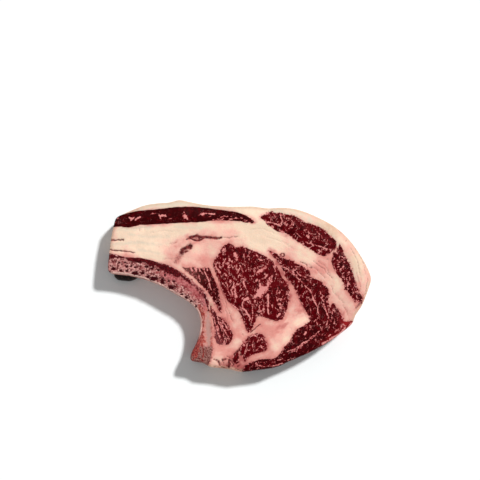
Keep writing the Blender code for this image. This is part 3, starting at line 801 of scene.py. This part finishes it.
def bone_finish():
    made, shader = new_finish("sawn rib", 0.5, 0.07)
    place = place_in_mm(made)
    rim, spongy, hard_edge = (read_mask(place, name) for name in ("rim", "spongy", "hard_edge"))
    sponge = wire(place.tree, "ShaderNodeTexVoronoi", {"feature": "SMOOTH_F1"},
                  {"Vector": place, "Scale": 1 / SPONGE_SIZE, "Smoothness": 0.35, "Randomness": 1.0})
    patchy = speckle(place, 5.5, 11.0)
    fine = speckle(place, 1.3, 12.0, 4.0)
    streak = speckle(place, 7.0, rim * 0.5)
    depth = patchy * 0.6 + fine * 0.5 + streak * 0.8
    colour = blend(ease(depth, 0.8, 1.18), BONE_PINK, BONE_DEEP)
    holes = ease(sponge * 0.55 + patchy * -0.9 + fine * 0.5, 0.0, 0.2) * spongy
    colour = blend(holes * 0.8, colour, MARROW_RED)
    crumbs = ease(speckle(place, 1.5, 13.0), 0.55, 0.66) * spongy
    colour = blend(crumbs * 0.7, colour, BONE_PALE)
    colour = blend(ease(holes, 0.75, 1.0, 0.0, 0.5), colour, PORE_DARK)
    wander = (speckle(place, 2.4, 5.0, 4.0) - 0.5) * 0.9
    strip = ease(read_mask(place, "strip") + wander, 0.25, 0.75)
    strip_tone = blend(ease(fine, 0.42, 0.6), STRIP_ORANGE, BONE_PINK)
    strip_tone = blend(ease(streak, 0.5, 0.6), strip_tone, FOOT_RED)
    colour = blend(strip * 0.9, colour, strip_tone)
    foot = ease(read_mask(place, "foot") + wander, 0.3, 0.8)
    colour = blend(foot, colour, blend(ease(fine, 0.38, 0.6), FOOT_BROWN, FOOT_GREY))
    gristle = ease(read_mask(place, "gristle") + wander * 0.9, 0.1, 0.85, 0.0, 0.85)
    colour = blend(gristle, colour, GRISTLE_GREY)
    foot_red = ease(read_mask(place, "foot_red") + wander, 0.3, 0.7)
    colour = blend(foot_red * 0.85, colour, blend(ease(fine, 0.4, 0.6), MARROW_RED, FOOT_RED))
    band = ease(read_mask(place, "red_band") + wander, 0.3, 0.85)
    colour = blend(band * 0.7, colour, blend(ease(streak, 0.42, 0.58), BAND_RED, BAND_PINK))
    marrow = ease(read_mask(place, "marrow") + wander * 1.7, 0.36, 0.62)
    colour = blend(marrow, colour, blend(ease(fine, 0.45, 0.65), PORE_DARK, MARROW_RED))
    pale = ease(rim + wander * 2.4, 0.3, 1.5, 1.0, 0.0)
    colour = blend(pale * hard_edge, colour, BONE_PALE)
    skin = speckle(stretched(place, (1.0, 1.0, 0.3)), 3.5, 9.0, 4.0)
    skin = blend(ease(skin, 0.45, 0.7), MEMBRANE, BONE_DEEP)
    colour = blend(read_mask(place, "wall") * hard_edge * 0.9, colour, skin)
    pore = read_mask(place, "pore")
    hollow = ease(pore + wander + (fine - 0.5) * 1.6, 0.3, 0.65) * ease(pore, 0.0, 0.15)
    colour = blend(hollow, colour, PORE_DARK)
    dress(shader, colour, fine - holes * 0.7, 0.35, ease(fine, 0.3, 0.7, 0.42, 0.62))
    return made


rib = lay_slab("rib_bone")
spots = points_of(rib)
top = spots[:, 2] > 20
pore = np.zeros(len(spots))
for x, y, wide, tall in PORES:
    away = np.hypot((spots[:, 0] - x) / wide, (spots[:, 1] - y) / tall)
    pore = np.maximum(pore, np.clip(1.45 - away, 0, 1) * top)
foot = np.clip((-60 - spots[:, 1]) / 9, 0, 1)
strip = np.clip((-18 - spots[:, 1]) / 8, 0, 1) * (1 - foot)
write_mask(rib, "pore", pore)
write_mask(rib, "groove", np.clip(pore * 1.4, 0, 1))
rib_lines = {"marrow": MARROW, "red_band": RED_BAND, "gristle": GRISTLE, "foot_red": FOOT_REDS}
for name, lines in rib_lines.items():
    write_mask(rib, name, line_mask(spots, lines, False))
write_mask(rib, "foot", foot)
write_mask(rib, "strip", strip)
write_mask(rib, "spongy", (1 - foot) * (1 - 0.8 * strip))
write_mask(rib, "hard_edge", np.clip((spots[:, 1] + 58) / 10, 0, 1) * np.clip((spots[:, 0] + 139) / 4, 0, 1))
bake_relief(rib, {"Lump Height": 0.5, "Lump Size": 5.0, "Grain Height": 0.35, "Groove Depth": 1.1,
                  "Seed": 5.0, "Finish": bone_finish()})
fix_in_frame(rib, "rib_bone")

# Muscles
# Nine muscles of raw beef. Each is cut across its fibres, so its face shows dark
# red lean with pale fat marbling, and thin seams of fat between its bundles.

LEAN_DARK, LEAN_RED, LEAN_BRIGHT = tint(52, 0, 2), tint(92, 0, 7), tint(124, 9, 17)
VEIN_DEEP, VEIN_PINK, VEIN_PALE = tint(134, 32, 36), tint(195, 106, 104), tint(226, 152, 146)
SILVER_SKIN = tint(196, 120, 110)


def marbling_group():
    """Where a muscle's fat veins lie: a broken net of cells drawn out along the grain."""
    numbers = ("Grain Angle", "Cell Size", "Stretch", "Vein Width", "Fineness", "Seed")
    inputs = {"Place": "Vector", **dict.fromkeys(numbers, "Float")}
    group, given, out = new_group("marbling", inputs, {"Vein": "Float", "Fibre": "Float"})
    place, seed = given["Place"], given["Seed"]
    turned = wire(group, "ShaderNodeVectorRotate", {"rotation_type": "Z_AXIS"},
                  {"Vector": place, "Angle": given["Grain Angle"]})
    across = 1.0 / given["Cell Size"]
    scale = wire(group, "ShaderNodeCombineXYZ", {},
                 {0: across, 1: across / given["Stretch"], 2: across * CELL_SLANT})
    bent = stretched(turned, scale)
    for size, bend in VEIN_BENDS:
        values = {0: speckle(place, size, seed, 2.0, 1), 1: (bend, bend, bend), 2: bent}
        bent = wire(group, "ShaderNodeVectorMath", {"operation": "MULTIPLY_ADD"}, values)
    start = wire(group, "ShaderNodeCombineXYZ", {}, {0: seed, 1: seed})
    apart = wire(group, "ShaderNodeVectorMath", {"operation": "ADD"}, {0: bent, 1: start})
    net = wire(group, "ShaderNodeTexVoronoi", {"feature": "DISTANCE_TO_EDGE"},
               {"Vector": apart, "Scale": 1.0})
    width = ease(speckle(place, 6.0, seed + 20.0, 4.0), 0.4, 0.68) * given["Vein Width"]
    veins = ease(net / larger(width, 0.001), 0.2, 1.1, 1.0, 0.0)
    ridge = calc(group, "ABSOLUTE", speckle(apart, 0.9, seed, 2.0) - 0.5)
    gate = ease(speckle(place, 5.0, seed + 30.0), 0.45, 0.6)
    winding = ease(ridge, 0.0, WINDING_WIDTH, 1.0, 0.0) * gate
    blobs = speckle(apart, BLOB_SIZE, seed + 40.0, 4.0)
    blobs = ease(blobs, BLOB_START, BLOB_START + 0.1, 0.0, 0.85)
    veins = larger(veins, larger(winding, blobs) * given["Fineness"])
    strength = ease(speckle(place, 3.2, seed + 50.0, 2.0), 0.4, 0.6, WEAKEST, 1.0)
    fibre = speckle(stretched(apart, (5.0, 1.2, 1.2)), 1.0, seed, 3.0)
    fill(out, {"Vein": veins * strength, "Fibre": fibre})
    return group


CELL_SLANT = 0.16
VEIN_BENDS = ((7.0, 1.7), (2.4, 0.7))
WINDING_WIDTH, BLOB_SIZE, BLOB_START, WEAKEST = 0.055, 0.7, 0.58, 0.25
VEIN_FULL = 0.8
LEAN_START = 0.25
MARBLING = marbling_group()


def muscle_finish(name, angle, cell, stretch, width, fineness, seed, darkness=0.0, faded=0.0,
                  faded_tone=None):
    """Marbled lean: angle of the grain in degrees, size of its cells in mm and how far they are
    drawn out, share of a cell that its veins take up, and how much fine marbling it has."""
    made, shader = new_finish(name, 0.45, 0.05)
    place = place_in_mm(made)
    rich, seam, wall = (read_mask(place, name) for name in ("rich", "seam", "wall"))
    net = use_group(MARBLING, {"Place": place, "Grain Angle": math.radians(angle), "Cell Size": cell,
                               "Stretch": stretch, "Vein Width": width, "Fineness": fineness, "Seed": seed})
    deep = net["Fibre"] * 0.5 + speckle(place, 4.0, seed + 3.0) * 0.7 + rich * 0.25
    darkness += LEAN_START
    colour = blend(ease(deep, 0.42 + darkness, 0.66 + darkness), LEAN_DARK, LEAN_RED)
    colour = blend(ease(deep, 0.66 + darkness, 0.92 + darkness), colour, LEAN_BRIGHT)
    if faded:
        colour = blend(read_mask(place, "faded") * faded, colour, faded_tone)
    wander = speckle(place, 1.6, seed, 4.0) - 0.5
    # Painted shade: the lean is coloured darker towards the rim and on the side wall.
    lean_rim_shade = ease(read_mask(place, "rim") + wander * 3.0, 0.0, 4.0, 0.5, 0.0)
    colour = blend(lean_rim_shade, colour, LEAN_DARK)
    film = speckle(stretched(place, (1.0, 1.0, 0.4)), 7.0, seed + 9.0, 4.0)
    colour = blend(ease(film, 0.46, 0.66, 0.0, 0.32) * wall, colour, SILVER_SKIN)
    breaks = ease(speckle(place, 4.5, seed + 5.0), 0.36, 0.6, 0.7, 1.3)
    seam = ease(seam * breaks + wander * 1.5, 0.3, 0.8) * ease(seam, 0.0, 0.2)
    shift = use_group(RAGGED, {"Place": place, "Wall": wall})["Shift"]
    fringe = ease(read_mask(place, "border") + shift, -0.4, 0.4, 0.95, 0.0)
    veins = ease(net["Vein"] * rich, 0.1, VEIN_FULL)
    fatness = larger(veins, larger(seam, fringe))
    colour = blend(ease(fatness, 0.1, 0.5), colour, VEIN_DEEP)
    colour = blend(ease(fatness, 0.4, 0.9), colour, VEIN_PINK)
    colour = blend(ease(fatness, 0.85, 1.0, 0.0, 0.75), colour, VEIN_PALE)
    height = fatness * 0.8 + net["Fibre"] * 0.7
    dress(shader, colour, height, 0.3, ease(fatness, 0.0, 1.0, 0.4, 0.5))
    return made


def lay_muscle(node, seams, finish, faded=None, rich=()):
    """One muscle with its listed seams of fat, and how rich its marbling is round some places."""
    obj = lay_slab(node)
    spots = points_of(obj)
    seam = line_mask(spots, seams, False)
    write_mask(obj, "seam", seam)
    write_mask(obj, "groove", -0.35 * seam)
    write_mask(obj, "rich", blended(spots, rich, 1.0))
    if faded:
        write_mask(obj, "faded", blended(spots, faded, 0.0))
    bake_relief(obj, {"Lump Height": 0.8, "Lump Size": 6.0, "Grain Height": 0.3, "Groove Depth": 0.8,
                      "Seed": 9.0, "Finish": finish})
    fix_in_frame(obj, node)


# Eye muscle
# The largest muscle, finely marbled with veins that run across the steak, and
# with one broad seam of fat in its middle.
EYE_SEAMS = (
    (3.4, 1, (31, 6), (29, 0), (26, -5), (22, -8), (16, -13)), (2.8, 1, (21, 5), (21, 0), (21, -6)),
    (7.5, 1, (26, -3.5), (22, -7), (19, -10)), (2.8, 0.75, (-6.5, 24), (-6, 19)),
    (2.4, 0.7, (-9, -3), (-8, -11)), (2.2, 0.95, (9, -14), (4, -15.4), (2, -20), (2.4, -24)),
    (1.9, 0.95, (2.4, -24), (6, -26.5), (9, -31), (10, -36)),
    (1.8, 0.9, (29.6, -9), (30.4, -20), (30, -31)), (3.6, 0.9, (27, 19.4), (22, 16), (18, 12)),
    (3.8, 0.9, (-5, 33), (-3, 28)), (1.9, 0.8, (-7, 26), (-8, 20)),
    (1.8, 0.85, (17, 33), (19, 28), (24, 27)), (2.2, 0.9, (-27.4, 24), (-25.4, 19), (-22, 13)),
    (1.8, 0.8, (-17, 25), (-18, 19)), (2.6, 0.75, (-5, 0), (-5.5, -7), (-4, -13)),
    (1.6, 0.8, (3, 5), (5, 0), (8, -7)), (1.6, 0.7, (9.6, 28), (9, 25)), (1.6, 0.8, (34, 10), (32, 2)),
    (1.6, 0.7, (-14, 4), (-13, -4), (-10, -12)), (1.6, 0.7, (40, -2), (39, -14), (43, -22)),
    (1.6, 0.7, (22, -18), (20, -26), (24, -32)), (1.6, 0.8, (12, -20), (14, -30), (12, -40)),
    (3, 0.8, (42, -30), (40, -33)), (1.6, 0.7, (-20, -2), (-16, -12), (-12, -20)),
    (1.6, 0.7, (0, 22), (4, 14), (2, 9)), (1.5, 0.7, (36, 22), (38, 14)),
)
eye_finish = muscle_finish("eye lean", 8, 4.6, 1.9, 0.14, 0.95, 1.0)
lay_muscle("eye_muscle", EYE_SEAMS, eye_finish, rich=((40, -14, 8, 0.8), (2, 34, 9, 0.7), (-8, 18, 10, 1.2)))

# Ribeye cap
# A loose-grained muscle that wraps the eye, with long seams along its own curve.
CAP_SEAMS = (
    (1.5, 0.9, (45, 20), (50, 18), (55, 13), (62, 7), (68, 2), (74, -5), (78, -14)),
    (1.4, 0.9, (78, -14), (82, -24), (84, -32), (85, -36)),
    (1.5, 0.8, (88, -20), (92, -28), (94, -34), (92, -42)),
    (1.1, 1, (50, -70), (60, -66), (72, -58), (84, -48), (88, -44)),
    (1, 0.8, (54, -70), (64, -65.6), (74, -58), (82, -51)),
    (1.3, 0.8, (10, -86), (20, -85), (30, -86), (45, -83)), (1.3, 0.7, (40, -79), (50, -77)),
    (2.2, 1, (68, -52), (70, -50)), (1.4, 0.7, (57, 18), (63, 12), (70, 8)),
    (1.3, 0.7, (85, -6), (86, -14), (90, -18)), (1.2, 0.6, (70, -14), (74, -22), (76, -30)),
    (1.3, 0.7, (98, -28), (97, -36), (94, -46)), (1.2, 0.6, (104, -30), (103, -38)),
    (1.4, 0.7, (76, -40), (80, -36), (82, -42)), (1.2, 0.6, (60, -52), (66, -50), (70, -56)),
    (2.6, 0.95, (121, -38.4), (113, -44.6), (105, -51.4), (97, -56.8), (88, -61.8)),
    (1.8, 0.8, (109, -42), (101, -49), (93, -54)), (1.2, 0.6, (20, -82), (28, -81)),
    (1.2, 0.6, (38, 30), (44, 25), (46, 20)), (1.2, 0.5, (90, -52), (84, -56), (78, -58)),
)
cap_finish = muscle_finish("cap lean", 32, 4.6, 2.2, 0.1, 0.75, 5.0, 0.05, 0.9, tint(152, 28, 30))
CAP_FADE = (
    (114, -42, 4, 1), (106, -50, 3, 0.9), (95, -57, 3, 0.8), (87, -62, 3, 0.6), (100, -44, 5, 0),
    (84, -54, 8, 0),
)
CAP_RICH = (
    (74, -58, 13, 0.68), (58, -70, 10, 0.75), (98, -42, 11, 0.85), (70, 5, 14, 1.1), (30, -84, 14, 0.7),
    (110, -44, 8, 1.4),
)
lay_muscle("ribeye_cap_muscle", CAP_SEAMS, cap_finish, CAP_FADE, CAP_RICH)

# Top strip
# A thin flat muscle between two layers of fat, nearly free of marbling.
STRIP_SEAMS = (
    (1.9, 1, (-118.6, 72.4), (-115.4, 71), (-113.4, 71.8)), (2.2, 1, (-116.4, 70), (-115.6, 71.6)),
    (1.8, 1, (-111.2, 70), (-109, 70.6), (-106, 72.2)), (3.2, 1, (-84, 73.6), (-83, 74)),
    (1.9, 1, (-86.4, 75), (-83, 73.6), (-79.4, 75.2)), (1.6, 0.9, (-84.6, 71.4), (-84, 73)),
    (1.5, 0.8, (-76, 71), (-73, 71.4)), (4.4, 1, (-59.2, 75), (-58.4, 72.6)),
    (2, 1, (-60.4, 77.6), (-59, 74), (-56.4, 70.8)), (3.4, 1, (-39.6, 76.4), (-37.8, 77)),
    (1.6, 1, (-44, 75), (-39, 77), (-32, 76.6), (-27, 76)), (1.8, 0.9, (-131, 71.5)),
    (2.2, 0.9, (-133.4, 67)), (1.5, 0.7, (-97, 75.6), (-90, 76.8)), (1.6, 0.8, (-21, 73), (-13, 74)),
    (1.6, 0.8, (-5, 72), (2, 71)), (1.5, 0.8, (-29, 70.4), (-17, 71)), (1.4, 0.8, (-12, 70.6), (-4, 71)),
    (1.4, 0.7, (-24, 72), (-22, 74.5)), (1.4, 0.7, (-9, 72.4), (-8, 75)),
    (1.4, 0.7, (-34, 72), (-31, 73.6)), (1.3, 0.7, (-52, 73), (-50, 71.6)), (1.3, 0.7, (3, 70), (8, 69)),
)
strip_finish = muscle_finish("strip lean", 80, 5.0, 3.0, 0.01, 0.1, 9.0, 0.16)
lay_muscle("top_strip_muscle", STRIP_SEAMS, strip_finish)

# Front cap
# A coarse muscle at the outer edge, split by seams into bundles.
FRONT_SEAMS = (
    (1.6, 0.9, (28, 67), (35, 67), (43, 63)), (1.6, 0.9, (43, 76), (45, 68)), (1.9, 1, (57, 65)),
    (1.4, 0.9, (70, 46), (78, 43), (88, 41), (92, 38)), (1.2, 0.8, (81, 52), (84, 46)),
    (1.3, 0.7, (30, 73), (34, 71), (33, 67)), (1.3, 0.7, (52, 72), (56, 68), (52, 60)),
    (1.6, 0.8, (40, 60), (48, 56)), (1.2, 0.7, (62, 62), (60, 55), (66, 50)),
    (1.2, 0.7, (72, 62), (74, 56), (70, 52)), (1.2, 0.6, (80, 60), (86, 54), (88, 48)),
    (1.2, 0.6, (94, 48), (92, 42)), (1.2, 0.6, (46, 62), (50, 58)), (1.5, 0.7, (36, 76), (38, 72)),
)
front_finish = muscle_finish("front lean", 55, 5.4, 1.6, 0.13, 0.75, 13.0, 0.02)
lay_muscle("front_cap_muscle", FRONT_SEAMS, front_finish)

# Side cap
# The same muscle where it thins down the side, with bright flecks of fat.
SIDE_SEAMS = (
    (2, 1, (103, 26.5)), (1.8, 1, (105, 20)), (1.5, 1, (110, 20), (107, 17)), (1.5, 1, (115, 3), (115, -1)),
    (1.4, 0.9, (116, 9), (117, 6)), (1.6, 0.9, (124, -11), (125, -14)), (1.3, 0.8, (109, 12), (112, 14)),
    (1.2, 0.7, (110, 27), (112, 24)), (1.2, 0.8, (119, -4), (121, -8)),
)
side_finish = muscle_finish("side lean", 65, 3.8, 1.3, 0.19, 0.95, 17.0, 0.05)
lay_muscle("side_cap_muscle", SIDE_SEAMS, side_finish)

# Lower muscle and its foot
# A small bundle below the eye, and a dark scrap of the same muscle beside it.
LOWER_SEAMS = (
    (1.2, 0.8, (7, -63), (5, -72)), (1.2, 0.8, (14, -57), (13, -65)), (1.1, 0.7, (20, -55), (19, -60)),
    (1.5, 0.8, (22, -64), (24, -67)), (1.1, 0.6, (9, -58), (5, -62)), (1.1, 0.6, (16, -69), (20, -66)),
)
lower_finish = muscle_finish("lower lean", 25, 4.0, 1.8, 0.18, 1.0, 21.0)
lay_muscle("lower_muscle", LOWER_SEAMS, lower_finish)
lay_muscle("lower_muscle_foot", ((0.8, 0.5, (-4, -73), (-3.4, -79)),), lower_finish)

# Rib fingers
# Two muscles between the eye and the rib. The lower one is faded on its rib side.
FINGER_SEAMS = (
    (1.3, 0.9, (-38, 17), (-34, 5), (-30, -5)), (1.2, 0.8, (-46, 14), (-42, 5)),
    (1.2, 0.6, (-54, 17), (-51, 13)), (1.1, 0.6, (-28, -4), (-25, -16)), (2, 1, (-53, 20), (-50, 14)),
    (1.8, 1, (-48.6, 21), (-46.4, 15)), (1.8, 1, (-44.4, 21), (-42.6, 15)),
    (1.7, 1, (-40.6, 21), (-39, 16)), (1.6, 0.9, (-36, 21), (-34.6, 16)),
)
FINGER_FADE = (
    (-57, 17, 4, 1), (-52, 13, 4, 0.7), (-44, 7, 5, 0.2), (-30, -2, 9, 0),
)
finger_finish = muscle_finish("finger lean", 30, 3.8, 2.6, 0.09, 0.65, 25.0, 0.1, 0.75, tint(122, 78, 70))
lay_muscle("rib_finger_upper", FINGER_SEAMS, finger_finish, FINGER_FADE)
LOWER_FINGER_SEAMS = (
    (1.4, 0.8, (-21, -37), (-18, -46), (-13, -54)), (1.3, 0.8, (-24, -42), (-22, -52), (-17, -60)),
    (1.8, 0.9, (-12, -56.5)), (1.2, 0.7, (-16, -40), (-12, -48)),
    (1.3, 0.9, (-27, -34), (-25, -46), (-20, -60)), (1.2, 0.8, (-20, -31), (-17, -40), (-12, -50)),
    (1.2, 0.8, (-24, -31), (-22, -40), (-19, -48)), (1.1, 0.7, (-14, -36), (-10, -46)),
)
LOWER_FINGER_FADE = (
    (-29, -50, 4, 0.6), (-24, -60, 4, 0.45), (-30, -32, 5, 0.1), (-15, -52, 6, 0), (-21, -38, 6, 0),
)
lower_finger_finish = muscle_finish("lower finger lean", 28, 3.6, 2.4, 0.14, 0.95, 29.0, 0.06, 0.75,
                                    tint(172, 96, 98))
lay_muscle("rib_finger_lower", LOWER_FINGER_SEAMS, lower_finger_finish, LOWER_FINGER_FADE)

# Scrap under the rib
# A flap of meat that lies under the rib's end and shows past it, painted nearly black as shade, with brown
# flecks as painted highlights.
SCRAP_SHADE_BLACK, SCRAP_HIGHLIGHT_BROWN = tint(26, 10, 9), tint(92, 70, 60)


def shaded_scrap_finish():
    made, shader = new_finish("shade-darkened scrap", 0.5, 0.25)
    fine = speckle(place_in_mm(made), 1.6, 2.0, 4.0)
    # Painted shade and highlights: the meat is coloured nearly black, with brown flecks that stand in for
    # highlights.
    colour = blend(ease(fine, 0.5, 0.72), SCRAP_SHADE_BLACK, SCRAP_HIGHLIGHT_BROWN)
    dress(shader, colour, fine, 0.4, ease(fine, 0.3, 0.7, 0.38, 0.6))
    return made


def merged_copy(mesh):
    """A copy of a solid's mesh with its loose triangles joined into one surface."""
    copy = mesh.copy()
    bm = bmesh.new()
    bm.from_mesh(copy)
    bmesh.ops.remove_doubles(bm, verts=bm.verts[:], dist=1e-6)
    bm.to_mesh(copy)
    bm.free()
    return copy


scrap = stand("under_rib_meat_detail", merged_copy(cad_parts["under_rib_meat"].data))
finer = scrap.modifiers.new("finer", "SUBSURF")
finer.subdivision_type = "CATMULL_CLARK"
finer.levels = finer.render_levels = 3
bake(scrap, finer)
scrap.data.materials.clear()
write_mask(scrap, "groove", np.zeros(len(scrap.data.vertices)))
bake_relief(scrap, {"Lump Height": 0.5, "Lump Size": 4.0, "Grain Height": 0.4, "Groove Depth": 0.0,
                    "Seed": 4.0, "Finish": shaded_scrap_finish()})
fix_in_frame(scrap, "under_rib_meat")

# Studio
# A pale floor, one small soft key light from the upper right and an even fill, and
# a camera that looks almost straight down.
FLOOR_SIZE, FLOOR_WHITE = 6.0, (0.955, 0.985, 0.985, 1.0)
KEY_WAY, KEY_WIDTH, KEY_STRENGTH = (0.63, 0.6, 1.0), 6.0, 3.05
FILL_WHITE, FILL_STRENGTH = (1.0, 1.0, 1.0, 1.0), 0.345
AIM_Y, TOP_HEIGHT = 0.0487, 0.030
PHOTO_WIDTH = 0.5136
LENS, SENSOR = 85.0, 36.0
ELEVATION = 86.0

half = FLOOR_SIZE / 2
square = [(-half, -half, 0), (half, -half, 0), (half, half, 0), (-half, half, 0)]
floor_mesh = bpy.data.meshes.new("floor")
floor_mesh.from_pydata(square, [], [(0, 1, 2, 3)])
floor = stand("floor", floor_mesh)
paint, floor_shader = new_finish("pale floor", 0.9, 0.0)
fill(floor_shader, {"Base Color": FLOOR_WHITE})
floor_mesh.materials.append(paint)

key_data = bpy.data.lights.new("key", "SUN")
key_data.energy, key_data.angle = KEY_STRENGTH, math.radians(KEY_WIDTH)
key = stand("key", key_data)
key.rotation_euler = (-Vector(KEY_WAY)).to_track_quat("-Z", "Y").to_euler()

world = bpy.data.worlds.new("studio")
bpy.context.scene.world = world
world.use_nodes = True
fill(world.node_tree.nodes["Background"], {"Color": FILL_WHITE, "Strength": FILL_STRENGTH})
bpy.context.scene.view_settings.view_transform = "Standard"

camera_data = bpy.data.cameras.new("camera")
camera_data.lens, camera_data.sensor_width = LENS, SENSOR
camera = stand("camera", camera_data)
distance = PHOTO_WIDTH * LENS / SENSOR
tilt = math.radians(ELEVATION)
camera.location = Vector((0, AIM_Y - distance * math.cos(tilt), TOP_HEIGHT + distance * math.sin(tilt)))
camera.rotation_euler = (math.radians(90.0 - ELEVATION), 0.0, 0.0)
bpy.context.scene.camera = camera

bpy.context.view_layer.update()
